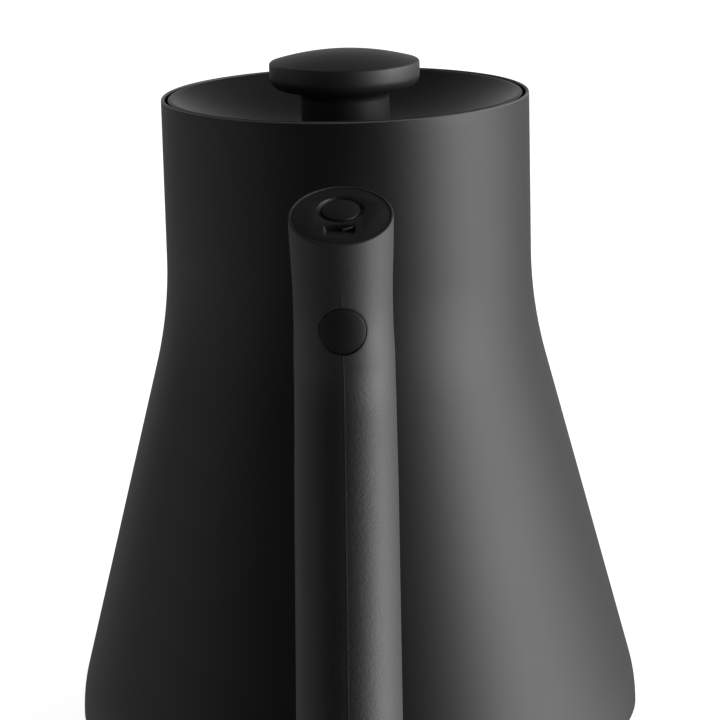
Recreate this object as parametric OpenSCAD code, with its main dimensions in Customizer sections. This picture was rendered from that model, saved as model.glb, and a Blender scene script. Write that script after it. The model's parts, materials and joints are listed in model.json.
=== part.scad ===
// Gooseneck kettle, the lift-off vessel of a cordless electric kettle.
// Origin: on the vessel's axis, at the plane it stands on. +Z up, +Y towards the spout, handle towards -Y.
// Everything is in millimetres.

/* [Vessel] */
// Height of the rim above the resting plane
rim_z = 167; // [160:1:175]
// Outer radius of the straight neck
neck_r = 47; // [45:0.5:49]
// Height at which the neck starts to flare
flare_z = 126; // [122:1:130]
// Half angle of the cone, in degrees
cone_a = 14.57; // [13:0.1:15]
// Radius of the bend between neck and cone
flare_rho = 112; // [80:1:130]
// Height at which the cone starts to round in towards its foot
foot_z = 16; // [14:1:20]
// Radius of that rounding
foot_rho = 48; // [40:1:56]
// Sheet thickness of the vessel
wall = 0.9; // [0.7:0.1:1.2]

/* [Lid] */
// Gap between lid pan and neck
lid_gap = 0.8; // [0.5:0.1:1.2]
// Depth of the dished top under the rim, at its centre
dish_depth = 9.8; // [7:0.1:11]
// Radius of the knob's disc
knob_r = 19.2; // [17:0.1:21]
// Radius of the knob's stem
stem_r = 11.3; // [9:0.1:12]
// Height of the top of the knob
knob_top = 178.1; // [174:0.1:182]
// Radius of curvature of the knob's domed top
dome_rho = 64; // [50:1:120]

/* [Spout] */
// Height of the spout's root on the cone
root_z = 33.5; // [30:0.5:38]
// Outer radius of the tube at its root
root_r = 8.2; // [7.5:0.1:9]
// Outer radius of the tube in the bend over the cup
bend_r = 5.2; // [4.8:0.1:5.8]
// Outer radius of the tube at its mouth
mouth_r = 4.8; // [4.3:0.1:5.2]
// Sheet thickness of the tube
spout_wall = 0.7; // [0.6:0.1:0.9]

/* [Handle] */
// Distance of the grip's upper length from the vessel's axis
grip_y = 77.5; // [76:0.5:80]
// Height of the handle screw
screw_z = 125; // [124:0.5:127]
// Lean of the lower grip from the vertical, in degrees
lean = 30; // [24:1:34]
// Radius of the grip in the hand
grip_r = 12.2; // [11.8:0.1:12.6]
// Radius of the grip at its waist, by the screw
waist_r = 11.7; // [11.3:0.1:12]
// Radius of the grip under the thumb face
thumb_r = 12.3; // [11.9:0.1:12.8]
// Slope of the thumb face from the horizontal, in degrees
thumb_a = 21; // [15:1:25]

/* [Base] */
// Radius of the pilot bore that the power base's ring enters
pilot_r = 18; // [17.5:0.1:18.5]
// Height of the heated floor
floor_z = 24; // [23:0.5:26]

/* [Hidden] */

FN = 96;          // roundness of exact rounds
e = 0.05;         // clearance between fixed neighbours
big = 400;

black = [0.045, 0.045, 0.048];
soft_black = [0.06, 0.06, 0.062];
steel = [0.72, 0.72, 0.74];
bright = [0.80, 0.80, 0.80];
alu = [0.78, 0.79, 0.80];
brass = [0.80, 0.65, 0.32];
silicone = [0.16, 0.16, 0.17];
white_silicone = [0.86, 0.86, 0.84];
ivory = [0.88, 0.86, 0.78];
red = [0.72, 0.10, 0.09];
blue = [0.12, 0.25, 0.62];
green = [0.35, 0.62, 0.20];

// ---------- vessel profile ----------
// Outer wall from foot to rim as [r, z] points, moved inwards by w.
r1 = neck_r + flare_rho * (1 - cos(cone_a));
z1 = flare_z - flare_rho * sin(cone_a);
r2 = r1 + (z1 - foot_z) * tan(cone_a);
cr = r2 - foot_rho * cos(cone_a);
cz = foot_z - foot_rho * sin(cone_a);
shell_z0 = cz;    // lower edge of the sheet, where the foot is upright
foot_r = cr + foot_rho;

function wall_pts(w) = concat(
  [for (i = [0 : 5]) let (t = cone_a * i / 5) [cr + (foot_rho - w) * cos(t), cz + (foot_rho - w) * sin(t)]],
  [for (i = [0 : 8]) let (t = cone_a * (8 - i) / 8) [neck_r + flare_rho - (flare_rho + w) * cos(t), flare_z - (flare_rho + w) * sin(t)]]);
// Wall radius at a height, for fitting parts inside or outside it.
function wall_r(z) = z >= flare_z ? neck_r
  : z >= z1 ? neck_r + flare_rho - sqrt(flare_rho * flare_rho - (flare_z - z) * (flare_z - z))
  : z >= foot_z ? r1 + (z1 - z) * tan(cone_a)
  : cr + sqrt(foot_rho * foot_rho - (z - cz) * (z - cz));

module outer_solid(grow = 0) {
  rotate_extrude($fn = FN) polygon(concat([[0, shell_z0]], wall_pts(-grow), [[neck_r + grow, rim_z], [0, rim_z]]));
}

module ring(ri, ro, z0, z1) {
  translate([0, 0, z0]) difference() {
    cylinder(r = ro, h = z1 - z0, $fn = FN);
    translate([0, 0, -1]) cylinder(r = ri, h = z1 - z0 + 2, $fn = FN);
  }
}

module at(r, a, z = 0) { rotate([0, 0, a]) translate([r, 0, z]) children(); }
// A cylinder along Y, from y0 to y1, at height z.
module along_y(r, y0, y1, z) { translate([0, y0, z]) rotate([-90, 0, 0]) cylinder(r = r, h = y1 - y0, $fn = 64); }

// ---------- round runs in the plane x = 0 ----------
// Straight run of length len from [y, z], heading h degrees from +Y towards +Z, overrunning both ends by x.
module run(p, h, len, ra, rb, x0 = 0, x1 = 0) {
  translate([0, p[0], p[1]]) rotate([h - 90, 0, 0]) translate([0, 0, -x0]) cylinder(r1 = ra, r2 = rb, h = len + x0 + x1, $fn = 64);
}
// Bend of centreline radius rho about c = [y, z], from angle a to angle b, both seen from +X.
module bend(c, rho, a, b, r) {
  translate([0, c[0], c[1]]) rotate([90, 0, 90]) rotate([0, 0, a]) rotate_extrude(angle = b - a, $fn = 96) translate([rho, 0]) circle(r = r, $fn = 48);
}

// ---------- spout centreline ----------
// Root straight, bend up, straight rise, long bend over, short straight mouth.
h0 = 12; h1 = 97; h2 = -14;
root_y = wall_r(root_z) - 4;
ra = 24; rb = 43;
straight_a = 11; straight_b = 38; straight_c = 9;
pa = [root_y + straight_a * cos(h0), root_z + straight_a * sin(h0)];
ca = pa + ra * [-sin(h0), cos(h0)];
pb = ca + ra * [sin(h1), -cos(h1)];
pc = pb + straight_b * [cos(h1), sin(h1)];
cb = pc + rb * [sin(h1), -cos(h1)];
pd = cb + rb * [-sin(h2), cos(h2)];
// The tube's outside moved inwards by o, overrunning its ends by x. Straights run
// lap into the bends, which are wider by step.
lap = 0.5; step = 0.03;
module spout_solid(o, x = 0) {
  run([root_y, root_z], h0, straight_a, root_r - o, root_r - o, x, lap);
  bend(ca, ra, h0 - 90, h1 - 90, root_r - o + step);
  run(pb, h1, straight_b, root_r - o, bend_r - o, lap, lap);
  bend(cb, rb, h2 + 90, h1 + 90, bend_r - o + step);
  run(pd, h2, straight_c, bend_r - o, mouth_r - o, lap, x);
}

// ---------- grip centreline ----------
// Upright under the thumb face, a bend outwards, then a straight lean down to the foot.
bend_rho = 32.5;
bend_z = screw_z - 8.8;
bend_gr = waist_r + 0.25;
by1 = grip_y + bend_rho * (1 - cos(lean));
bz1 = bend_z - bend_rho * sin(lean);
grip_end_z = 36;
face_z = 150.2;
lower_len = (bz1 - grip_end_z) / cos(lean);
end_y = -(by1 + (bz1 - grip_end_z) * tan(lean));
// Frame of the lower grip: local +Z runs up along its axis from the foot.
module lower_grip() { translate([0, end_y, grip_end_z]) rotate([-lean, 0, 0]) children(); }
// Frame of the thumb face: local +Z is its outward normal, local +Y runs up its slope to the vessel.
module thumb_face() { translate([0, -grip_y, face_z]) rotate([thumb_a, 0, 0]) children(); }
module grip_solid() {
  translate([0, -grip_y, 0]) rotate_extrude($fn = 64) polygon([[0, bend_z - lap], [bend_gr, bend_z - lap], [bend_gr, bend_z],
    [waist_r + 0.05, 125], [waist_r, 128], [waist_r + 0.05, 133], [thumb_r - 0.1, 147], [thumb_r, 151], [thumb_r, 162], [0, 162]]);
  bend([-grip_y - bend_rho, bend_z], bend_rho, -lean, 0, bend_gr + step);
  lower_grip() rotate_extrude($fn = 64) polygon([[0, 0], [grip_r - 0.5, 0], [grip_r - 0.15, 0.15], [grip_r, 0.5], [grip_r, lower_len - 12],
    [bend_gr, lower_len], [bend_gr, lower_len + lap], [0, lower_len + lap]]);
}

// ================= vessel =================
module body_shell() {
  color(black) difference() {
    rotate_extrude($fn = FN) polygon(concat(
      wall_pts(0), [[neck_r, rim_z - 0.5], [neck_r - 0.12, rim_z - 0.18], [neck_r - 0.45, rim_z], [neck_r - wall + 0.12, rim_z - 0.18], [neck_r - wall, rim_z - 0.5]],
      [for (i = [len(wall_pts(wall)) - 1 : -1 : 0]) wall_pts(wall)[i]]));
    translate([0, root_y, root_z]) rotate([h0 - 90, 0, 0]) translate([0, 0, -20]) cylinder(r = root_r + e, h = 40, $fn = 64);
  }
}

// Pressed ring inside the neck that the lid stands on.
seat_z = 153.6;
module lid_seat_ring() {
  color(steel) rotate_extrude($fn = FN) polygon([[neck_r - wall - e, seat_z - 7], [neck_r - wall - e, seat_z], [40.6, seat_z], [40, seat_z - 0.6],
    [40, seat_z - 6], [40.8, seat_z - 6], [40.8, seat_z - 0.9], [neck_r - wall - e - 0.8, seat_z - 0.9], [neck_r - wall - e - 0.8, seat_z - 7]]);
}

module spout_tube() { color(black) difference() { spout_solid(0); spout_solid(spout_wall, 2); } }

// Flared weld collar that blends the tube into the cone.
module spout_collar() {
  color(black) difference() {
    translate([0, root_y, root_z]) rotate([h0 - 90, 0, 0]) rotate_extrude($fn = 64)
      polygon([[root_r + e, -2], [root_r + 5.6, -2], [root_r + 4.6, 2.6], [root_r + 3.1, 4.2], [root_r + 1.9, 5.8], [root_r + 1.0, 7.8], [root_r + 0.45, 10], [root_r + e, 10.8]]);
    outer_solid(e);
  }
}

// ================= heated floor =================
module floor_plate() {
  fr = wall_r(floor_z + 1.2) - wall / cos(cone_a) - 0.15;
  color(bright) difference() {
    rotate_extrude($fn = FN) polygon([[0, floor_z], [fr - 1.2, floor_z], [fr - 1.2, floor_z - 4], [fr, floor_z - 4], [fr, floor_z + 0.6], [fr - 0.6, floor_z + 1.2], [0, floor_z + 1.2]]);
    at(57, 150, floor_z - 1) cylinder(r = 4, h = 4, $fn = 48);
  }
}

module heat_spreader() {
  color(alu) difference() {
    translate([0, 0, floor_z - 3.2]) cylinder(r = 48, h = 3.2 - 0.02, $fn = FN);
    for (a = [30, 150, 270]) at(26, a, floor_z - 4) cylinder(r = 1.55, h = 5, $fn = 32);
  }
}

element_r = 38; tube_r = 3.35; element_z = floor_z - 3.2 - 3.4;
module heating_element() {
  color(steel) translate([0, 0, element_z]) rotate([0, 0, 295]) rotate_extrude(angle = 310, $fn = FN)
    translate([element_r, 0]) circle(r = tube_r, $fn = 32);
}
module element_pins() {
  color(bright) for (s = [-1, 1]) rotate([0, 0, 270 + 25 * s]) translate([element_r, 0, element_z]) rotate([90 * s, 0, 0])
    translate([0, 0, 0.02]) cylinder(r = 1.5, h = 9, $fn = 32);
}

// ================= cordless coupler =================
module coupler_housing() {
  color(ivory) difference() {
    union() {
      difference() {
        translate([0, 0, 6.5]) cylinder(r = 21.5, h = 10.5, $fn = FN);
        translate([0, 0, 6]) cylinder(r = 16.5, h = 9, $fn = FN);
      }
      ring(8.4, 9.1, 9, 15.5);
      for (a = [30, 150, 270]) {
        at(26, a, 14.6) cylinder(r = 4, h = 2.4, $fn = 32);
        at(19, a, 14.6) translate([0, -4, 0]) cube([7, 8, 2.4]);
      }
    }
    for (a = [30, 150, 270]) at(26, a, 14) cylinder(r = 1.7, h = 4, $fn = 32);
    translate([0, 0, 14]) cylinder(r = 2.5 + e, h = 4, $fn = 32);
    ring(6.2 - e, 7 + e, 14, 16);
    ring(10.4 - e, 11.2 + e, 14, 16);
    for (a = [60, 210, 330]) at(18, a, 11.5) translate([0, -3.25, 0]) cube([6, 6.5, 0.9]);
  }
}
module coupler_pin() {
  color(brass) { translate([0, 0, 8.2]) cylinder(r = 2.5, h = 9.6, $fn = 48); translate([0, 0, 7.4]) cylinder(r1 = 1.6, r2 = 2.5, h = 0.8, $fn = 48); }
}
module coupler_inner_ring() { color(brass) ring(6.2, 7, 8.5, 15.9); }
module coupler_outer_ring() { color(brass) ring(10.4, 11.2, 8.5, 15.9); }
module coupler_tabs() {
  color(brass) for (a = [60, 210, 330]) at(18.1, a, 11.55) translate([0, -3.15, 0]) difference() {
    cube([11, 6.3, 0.8]);
    translate([8.6, 3.15, -1]) cylinder(r = 0.9, h = 3, $fn = 24);
  }
}
module coupler_studs() { color(steel) for (a = [30, 150, 270]) at(26, a, 11.2) cylinder(r = 1.5, h = floor_z - 11.25, $fn = 32); }
module coupler_nuts() {
  color(steel) for (a = [30, 150, 270]) at(26, a, 12.1) difference() {
    cylinder(r = 3.1, h = 2.4, $fn = 6);
    translate([0, 0, -1]) cylinder(r = 1.55, h = 5, $fn = 32);
  }
}

// ================= safety and sensing =================
module thermal_cutout() {
  color(soft_black) at(28, 0, 11.5) { cylinder(r = 5.2, h = 7.2, $fn = 48); translate([0, 0, 5.8]) cylinder(r = 6, h = 1, $fn = 48); translate([-2, -7.6, 2]) cube([4, 15.2, 0.8]); }
}
module cutout_disc() {
  color(steel) at(28, 0, 18.75) rotate_extrude($fn = 48) polygon([[0, 1.0], [0, 1.4], [3, 1.25], [5, 0.5], [5, 0.1], [3, 0.85]]);
}
module cutout_bracket() {
  color(steel) at(28, 0, 0) difference() {
    union() {
      translate([-4, -8.6, 16.6]) cube([8, 17.2, 0.6]);
      translate([0, 0, 16.6]) cylinder(r = 6.2, h = 0.6, $fn = 48);
      for (y = [-8.6, 8]) translate([-4, y, 16.6]) cube([8, 0.6, floor_z - 3.25 - 16.6]);
    }
    translate([0, 0, 16]) cylinder(r = 5.3, h = 2, $fn = 48);
  }
}
module sensor_probe() {
  color(steel) at(57, 150, 0) { translate([0, 0, 14]) cylinder(r = 3, h = 17, $fn = 48); translate([0, 0, 31]) cylinder(r1 = 3, r2 = 1.8, h = 1.2, $fn = 48); }
}
module sensor_grommet() {
  color(white_silicone) at(57, 150, 0) {
    ring(3 + e, 4 - e, floor_z - 0.05, floor_z + 1.25);
    ring(3 + e, 6, floor_z + 1.25, floor_z + 2.2);
    ring(3 + e, 6, floor_z - 1, floor_z - 0.05);
  }
}
module sensor_clip() { color(steel) at(57, 150, 0) ring(3 + e, 6.4, floor_z - 1.7, floor_z - 1.05); }
module earth_screw() {
  color(brass) at(56, 60, 0) { translate([0, 0, 17]) cylinder(r = 1.9, h = floor_z - 17.05, $fn = 32); translate([0, 0, 15.4]) cylinder(r = 3.6, h = 1.6, $fn = 32); }
}

// ================= internal leads =================
// A smooth curve through four hand-set points, with a ring of n corners at each of its m steps.
function bez(p, t) = pow(1 - t, 3) * p[0] + 3 * pow(1 - t, 2) * t * p[1] + 3 * (1 - t) * t * t * p[2] + pow(t, 3) * p[3];
function unit(v) = v / norm(v);
function pol(r, a, z) = [r * cos(a), r * sin(a), z];
module lead(p, r, ref, m = 14, n = 8) {
  c = [for (i = [0 : m]) bez(p, i / m)];
  d = [for (i = [0 : m]) unit(c[min(i + 1, m)] - c[max(i - 1, 0)])];
  u = [for (v = d) unit(cross(ref, v))];
  polyhedron(points = [for (i = [0 : m], k = [0 : n - 1]) let (a = 360 * k / n, w = cross(d[i], u[i])) c[i] + r * (cos(a) * u[i] + sin(a) * w)],
    faces = concat([[for (k = [0 : n - 1]) n - 1 - k]],
      [for (i = [0 : m - 1], k = [0 : n - 1]) let (a = i * n + k, b = i * n + (k + 1) % n) [a, b, b + n, a + n]],
      [[for (k = [0 : n - 1]) m * n + k]]), convexity = 8);
}
module live_lead() { color(red) lead([pol(29.2, 330, 9.9), pol(38, 333, 8.6), [42, -7, 10.5], [31, -6, 12.1]], 1.2, [0, 0, 1]); }
module element_lead() { color(red) lead([[30.8, 6, 12.1], [58, 8, 7], [26, -52, 8.5], [9.8, -38.3, 14.3]], 1.2, [0, 0, 1], 22); }
module neutral_lead() { color(blue) lead([pol(29.2, 210, 9.9), pol(42, 212, 7.5), [-26, -46, 10.5], [-9.8, -38.3, 14.3]], 1.2, [0, 0, 1]); }
module earth_lead() { color(green) lead([pol(29.2, 60, 9.9), pol(38, 60, 8.8), pol(56, 60, 8.2), pol(56, 60, 15.2)], 1.2, [-sin(60), cos(60), 0]); }
module sensor_lead() { color(soft_black) lead([pol(57, 150, 13.65), pol(57, 151, 7.5), pol(36, 176, 9), pol(22, 180, 10)], 1.4, [0.8, 0.6, 0]); }

// ================= base cover =================
post_r = 55.2;
module cover_posts() {
  color(alu) for (a = [90, 210, 330]) at(post_r, a, 0) difference() {
    translate([0, 0, 6.6]) cylinder(r = 3.4, h = floor_z - 6.65, $fn = 48);
    translate([0, 0, 5]) cylinder(r = 1.55, h = 12, $fn = 32);
  }
}
module base_cover() {
  so = foot_r - 0.45;
  color(soft_black) difference() {
    union() {
      rotate_extrude($fn = FN) polygon([[pilot_r, 0], [27, 0], [28, 1.6], [59, 1.6], [60, 0], [so - 3.6, 0], [so - 2.1, 0.35], [so - 0.9, 1.2], [so - 0.2, 2.3], [so, 3.4],
        [71.9, 3.4], [71.9, 7.4], [70.1, 7.4], [70.1, 4], [21, 4], [21, 6.4], [pilot_r, 6.4]]);
      for (a = [90, 210, 330]) at(post_r, a, 3) cylinder(r = 5.4, h = 3.5, $fn = 48);
    }
    for (a = [90, 210, 330]) at(post_r, a, 0) { translate([0, 0, -1]) cylinder(r = 3.5, h = 5.2, $fn = 48); cylinder(r = 1.7, h = 8, $fn = 32); }
    at(44, 270, 0) cylinder(r = 2, h = 8, $fn = 32);
  }
}
module base_gasket() { color(silicone) ring(71.95, foot_r - 0.15, 3.42, shell_z0 - 0.02); }
module cover_screws() {
  color(steel) for (a = [90, 210, 330]) at(post_r, a, 0) difference() {
    union() { translate([0, 0, 2.2]) cylinder(r = 3, h = 1.98, $fn = 48); translate([0, 0, 4.1]) cylinder(r = 1.5, h = 11, $fn = 32); }
    for (t = [0, 90]) rotate([0, 0, t]) translate([-1.7, -0.35, 2]) cube([3.4, 0.7, 1.3]);
  }
}

// ================= handle =================
// Threaded boss with a square root, welded to the neck.
module handle_boss() {
  color(steel) difference() {
    union() {
      translate([-6.3, -neck_r - 3.5, screw_z - 6.3]) cube([12.6, 9, 12.6]);
      along_y(6, -neck_r - 11, -neck_r, screw_z);
    }
    rotate_extrude($fn = FN) polygon([[0, 90], [wall_r(90) + e, 90], for (i = [0 : 8]) let (t = cone_a * (8 - i) / 8) if (flare_z - flare_rho * sin(t) > 91) [neck_r + flare_rho - (flare_rho - e) * cos(t), flare_z - (flare_rho - e) * sin(t)], [neck_r + e, rim_z], [0, rim_z]]);
    along_y(2.5, -neck_r - 12, -neck_r + 20, screw_z);
  }
}
arm_y0 = -(grip_y - 7.5);   // end of the arm, inside the grip's socket
module arm_outer(grow = 0) {
  translate([0, arm_y0, screw_z]) rotate([-90, 0, 0]) rotate_extrude($fn = 64)
    polygon([[0, 0], [8.2 + grow, 0], [8.35 + grow, 8], [8.5 + grow, 12], [9.1 + grow, 17], [10.2 + grow, 22], [12.0 + grow, 26], [12.4 + grow, 29], [0, 29]]);
}
module handle_arm() {
  color(soft_black) difference() {
    arm_outer();
    outer_solid(1.0 + e);
    translate([-6.45, -neck_r - 3.65, screw_z - 6.45]) cube([12.9, 20, 12.9]);
    along_y(6.15, -neck_r - 11.2, -40, screw_z);
    along_y(2.8, arm_y0 - 1, -40, screw_z);
  }
}
// Thin heat break between the arm's saddle and the neck.
module arm_gasket() {
  color(silicone) difference() {
    intersection() { arm_outer(-0.25); outer_solid(1.0); }
    outer_solid(e);
    translate([-6.45, -neck_r - 3.65, screw_z - 6.45]) cube([12.9, 20, 12.9]);
  }
}
module grip_shell() {
  color(soft_black) difference() {
    grip_solid();
    thumb_face() translate([-30, -30, 0]) cube([60, 60, 30]);
    // hollow under the thumb face, and the seat of its cap
    translate([0, -grip_y, 134]) cylinder(r = 9, h = 36, $fn = 64);
    intersection() {
      translate([0, -grip_y, 136]) cylinder(r = 11.7, h = 30, $fn = 64);
      thumb_face() translate([-30, -30, -2.4]) cube([60, 60, 40]);
    }
    // plug seat, counterbore, screw hole and the socket for the arm, on one axis
    translate([0, 0, screw_z]) rotate([-90, 0, 0]) rotate([0, 0, 37]) rotate_extrude($fn = 64)
      polygon([[0, -grip_y - 20], [5.6, -grip_y - 20], [5.6, -grip_y - 9.6], [5.2, -grip_y - 9.6], [5.2, -grip_y - 2],
        [2.8, -grip_y - 2], [2.8, arm_y0 - 0.1], [8.35, arm_y0 - 0.1], [8.35, -40], [0, -40]]);
    // counterweight bore and the seat of the foot cap
    lower_grip() rotate_extrude($fn = 64) polygon([[0, -20], [9.8, -20], [9.8, 1.8], [8, 1.8], [8, 62], [0, 62]]);
  }
}
module grip_top_cap() {
  color(soft_black) difference() {
    intersection() {
      translate([0, 0.08 - grip_y, 130]) cylinder(r = 11.57, h = 40, $fn = 64);
      thumb_face() translate([-30, -30, -2.35]) cube([60, 60, 2.2]);
    }
    // ring groove with sloping sides
    thumb_face() translate([0, 2.8, 0]) rotate_extrude($fn = 64)
      polygon([[4.4, -0.15], [4.72, -0.95], [5.2, -0.95], [5.6, -0.15], [5.6, 1], [4.4, 1]]);
    // wedge-shaped recess, deepest at its upper edge
    thumb_face() translate([-3.6, 0, 0]) rotate([90, 0, 90]) linear_extrude(7)
      polygon([[-8.2, -0.15], [-4, -1.5], [-4, 1], [-8.2, 1]]);
  }
}
module counterweight() { color(steel) lower_grip() translate([0, 0, 8.2]) cylinder(r = 7.9, h = 51, $fn = 64); }
module counterweight_pad() { color(silicone) lower_grip() translate([0, 0, 5.1]) cylinder(r = 7.7, h = 3.05, $fn = 48); }
module grip_bottom_cap() {
  color(soft_black) lower_grip() {
    translate([0, 0, 1.75 - 1.7]) cylinder(r = 9.7, h = 1.7, $fn = 64);
    translate([0, 0, 1.7]) difference() { cylinder(r = 7.9, h = 3.3, $fn = 64); translate([0, 0, 1]) cylinder(r = 6.4, h = 4, $fn = 64); }
  }
}
module handle_screw() {
  color(steel) difference() {
    union() {
      along_y(2.45, -grip_y - 3, -neck_r - 1.5, screw_z);
      along_y(4.2, -grip_y - 8, -grip_y - 3, screw_z);
    }
    translate([0, -grip_y - 8.5, screw_z]) rotate([-90, 0, 0]) cylinder(r = 2.3, h = 3.4, $fn = 6);
  }
}
module screw_washer() {
  color(steel) difference() { along_y(5, -grip_y - 2.98, -grip_y - 2.02, screw_z); along_y(2.6, -grip_y - 5, -grip_y, screw_z); }
}
module screw_plug() {
  color(silicone) difference() {
    intersection() {
      union() { along_y(5.4, -grip_y - 14, -grip_y - 9.65, screw_z); along_y(5.1, -grip_y - 9.7, -grip_y - 8.1, screw_z); }
      translate([0, 3.6 - grip_y, screw_z - 10]) cylinder(r = 15, h = 20, $fn = 96);
    }
    along_y(3.6, -grip_y - 9.2, -grip_y - 8, screw_z);
  }
}

// ================= lid =================
pan_r = neck_r - wall - lid_gap;
edge_z = rim_z - 0.1;
mid_z = rim_z - dish_depth;
function dish(r, o = 0) = r < 13 ? mid_z - o : mid_z - o + (edge_z - mid_z) * pow((r - 13) / (pan_r - 1.2 - 13), 1.7);
module lid_pan() {
  color(black) difference() {
    union() {
      rotate_extrude($fn = FN) polygon(concat(
        [[0, mid_z - 1.2]], [[0, mid_z]], [for (i = [0 : 14]) let (r = 13 + (pan_r - 1.2 - 13) * i / 14) [r, dish(r)]],
        [[pan_r - 0.5, edge_z - 0.05], [pan_r - 0.1, edge_z - 0.35], [pan_r, edge_z - 0.8], [pan_r, seat_z + 0.3], [pan_r - 1.2, seat_z + 0.3]],
        [for (i = [14 : -1 : 0]) let (r = 13 + (pan_r - 2.6 - 13) * i / 14) [r, dish(r, 1.5)]]));
      ring(2.2, 6, 150.3, mid_z - 1.1);
      ring(37, 38.2, 150.3, dish(36.9, 1.3));
    }
    translate([0, 0, 140]) cylinder(r = 2.2, h = 30, $fn = 32);
    for (a = [72, 90, 108]) at(15.5, a, 140) cylinder(r = 1.3, h = 30, $fn = 24);
  }
}
// Height of the knob's domed top at radius r.
function dome(r) = knob_top - r * r / (2 * dome_rho);
module lid_knob() {
  k = knob_r;
  color(soft_black) difference() {
    rotate_extrude($fn = FN) polygon([[0, mid_z + e], [stem_r, mid_z + e], [stem_r, 165.9], [stem_r + 0.2, 166.8], [stem_r + 0.8, 167.7], [stem_r + 1.8, 168.3], [k - 4.7, 168.5],
      [k - 3.2, 168.85], [k - 1.9, 169.6], [k - 0.9, 170.65], [k - 0.25, 172.0], [k, 173.3], [k, 174.85], [k - 0.12, 175.15], [k - 0.4, 175.35], [k - 0.9, dome(k - 0.9)],
      for (r = [15.5 : -2.5 : 3]) [r, dome(r)], [0, dome(0)]]);
    translate([0, 0, mid_z - 1]) cylinder(r = 3.05, h = 12, $fn = 48);
  }
}
module knob_insert() {
  color(brass) difference() { translate([0, 0, mid_z + 0.3]) cylinder(r = 3, h = 9.5, $fn = 48); translate([0, 0, mid_z]) cylinder(r = 1.65, h = 9, $fn = 32); }
}
module lid_underplate() {
  color(bright) difference() {
    translate([0, 0, 149.2]) cylinder(r = 38.4, h = 1, $fn = FN);
    translate([0, 0, 145]) cylinder(r = 2.2, h = 10, $fn = 32);
    for (a = [72, 90, 108]) at(15.5, a, 140) cylinder(r = 1.6, h = 30, $fn = 24);
  }
}
module lid_gasket() {
  color(white_silicone) rotate_extrude($fn = FN) polygon([[38.3, 150.3], [39.0, 150.3], [39.7, 150.9], [39.7, 151.4], [39.0, 151.8], [39.0, 152.4], [39.7, 152.8], [39.7, 153.2], [39.0, 153.6], [38.3, 153.6]]);
}
module knob_screw() {
  color(steel) difference() {
    union() { translate([0, 0, 148.1]) cylinder(r = 1.6, h = 15, $fn = 32); translate([0, 0, 146.3]) cylinder(r = 3.4, h = 1.85, $fn = 48); }
    for (t = [0, 90]) rotate([0, 0, t]) translate([-1.9, -0.4, 146]) cube([3.8, 0.8, 1.3]);
  }
}
module knob_washer() { color(steel) ring(1.75, 5, 148.2, 149.15); }

body_shell();
lid_seat_ring();
spout_tube();
spout_collar();
floor_plate();
heat_spreader();
heating_element();
element_pins();
coupler_housing();
coupler_pin();
coupler_inner_ring();
coupler_outer_ring();
coupler_tabs();
coupler_studs();
coupler_nuts();
thermal_cutout();
cutout_disc();
cutout_bracket();
sensor_probe();
sensor_grommet();
sensor_clip();
earth_screw();
live_lead();
element_lead();
neutral_lead();
earth_lead();
sensor_lead();
cover_posts();
base_cover();
base_gasket();
cover_screws();
handle_boss();
handle_arm();
arm_gasket();
grip_shell();
grip_top_cap();
counterweight();
counterweight_pad();
grip_bottom_cap();
handle_screw();
screw_washer();
screw_plug();
lid_pan();
lid_knob();
lid_underplate();
lid_gasket();
knob_insert();
knob_screw();
knob_washer();
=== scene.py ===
"""Looks of the gooseneck kettle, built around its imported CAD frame. Sizes are in millimetres and become metres in the meshes."""
import json
import math

import bmesh
import bpy
import numpy as np
from mathutils import Matrix, Vector


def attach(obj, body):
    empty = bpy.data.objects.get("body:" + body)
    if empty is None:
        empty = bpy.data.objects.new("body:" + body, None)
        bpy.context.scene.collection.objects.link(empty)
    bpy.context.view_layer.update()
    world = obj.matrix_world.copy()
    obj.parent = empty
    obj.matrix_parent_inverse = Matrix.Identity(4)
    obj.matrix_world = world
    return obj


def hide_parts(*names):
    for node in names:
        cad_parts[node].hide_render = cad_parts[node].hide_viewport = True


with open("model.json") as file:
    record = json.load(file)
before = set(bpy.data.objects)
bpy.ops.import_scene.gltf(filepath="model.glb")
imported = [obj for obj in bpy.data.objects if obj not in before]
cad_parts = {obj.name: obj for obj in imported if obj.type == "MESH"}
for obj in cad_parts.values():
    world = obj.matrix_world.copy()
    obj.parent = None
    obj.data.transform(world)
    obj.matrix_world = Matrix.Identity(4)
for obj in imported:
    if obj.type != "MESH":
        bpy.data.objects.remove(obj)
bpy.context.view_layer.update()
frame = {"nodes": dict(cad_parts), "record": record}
NODES = frame["nodes"]
MM = 0.001
pi = math.pi


def sind(a):
    return math.sin(math.radians(a))


def cosd(a):
    return math.cos(math.radians(a))


# ------------------------------------------------------------------ camera
def add_camera():
    c = Vector((17.254, -790.744, 287.109)) * MM
    yaw, pitch, roll = (math.radians(a) for a in (1.0920361, -13.5266877, -1.3949421))
    fwd = Vector((-math.sin(yaw) * math.cos(pitch), math.cos(yaw) * math.cos(pitch), math.sin(pitch)))
    right = Vector((math.cos(yaw), math.sin(yaw), 0.0))
    up = right.cross(fwd)
    r2 = math.cos(roll) * right + math.sin(roll) * up
    u2 = -math.sin(roll) * right + math.cos(roll) * up
    m = Matrix((
        (r2.x, u2.x, -fwd.x, c.x),
        (r2.y, u2.y, -fwd.y, c.y),
        (r2.z, u2.z, -fwd.z, c.z),
        (0, 0, 0, 1)))
    data = bpy.data.cameras.new("camera")
    data.sensor_fit = "HORIZONTAL"
    data.sensor_width = 36.0
    data.lens = 3121.565 / 720 * 36
    data.clip_start = 0.01
    data.clip_end = 50.0
    cam = bpy.data.objects.new("camera", data)
    bpy.context.scene.collection.objects.link(cam)
    cam.matrix_world = m
    bpy.context.scene.camera = cam
    return cam


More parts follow.
